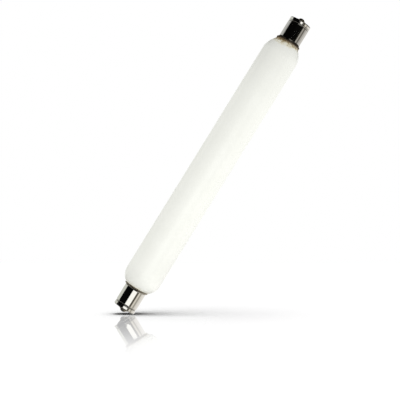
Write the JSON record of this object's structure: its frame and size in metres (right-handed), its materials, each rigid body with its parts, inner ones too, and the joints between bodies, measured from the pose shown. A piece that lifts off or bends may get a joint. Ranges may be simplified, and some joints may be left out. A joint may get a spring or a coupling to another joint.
{
  "type": "tubular light bulb",
  "caption": "Opal tubular lamp: a white glass tube with blown shoulders and a plain nickel contact cap cemented on each end, held by its caps in a strip light.",
  "frame": {"origin": "middle of the lamp, on its axis", "axes": "+Z along the tube; the two ends are alike, and the lamp is round about Z"},
  "size_m": [0.025, 0.025, 0.221],
  "materials": {
    "opal_glass": "opal, glossy",
    "nickel_plate": "bright plated",
    "basing_cement": "matt, cured",
    "black_glass": "glossy, cast",
    "brass": "stamped",
    "solder": "satin, cast",
    "lead_wire": "drawn wire"
  },
  "bodies": {
    "root": {"glass_tube": "opal_glass", "lower_cap_shell": "nickel_plate", "lower_cap_cement": "basing_cement", "lower_cap_insulator": "black_glass", "lower_contact_plate": "brass", "lower_contact_solder": "solder", "lower_lead_wire": "lead_wire", "upper_cap_shell": "nickel_plate", "upper_cap_cement": "basing_cement", "upper_cap_insulator": "black_glass", "upper_contact_plate": "brass", "upper_contact_solder": "solder", "upper_lead_wire": "lead_wire"}
  },
  "joints": []
}
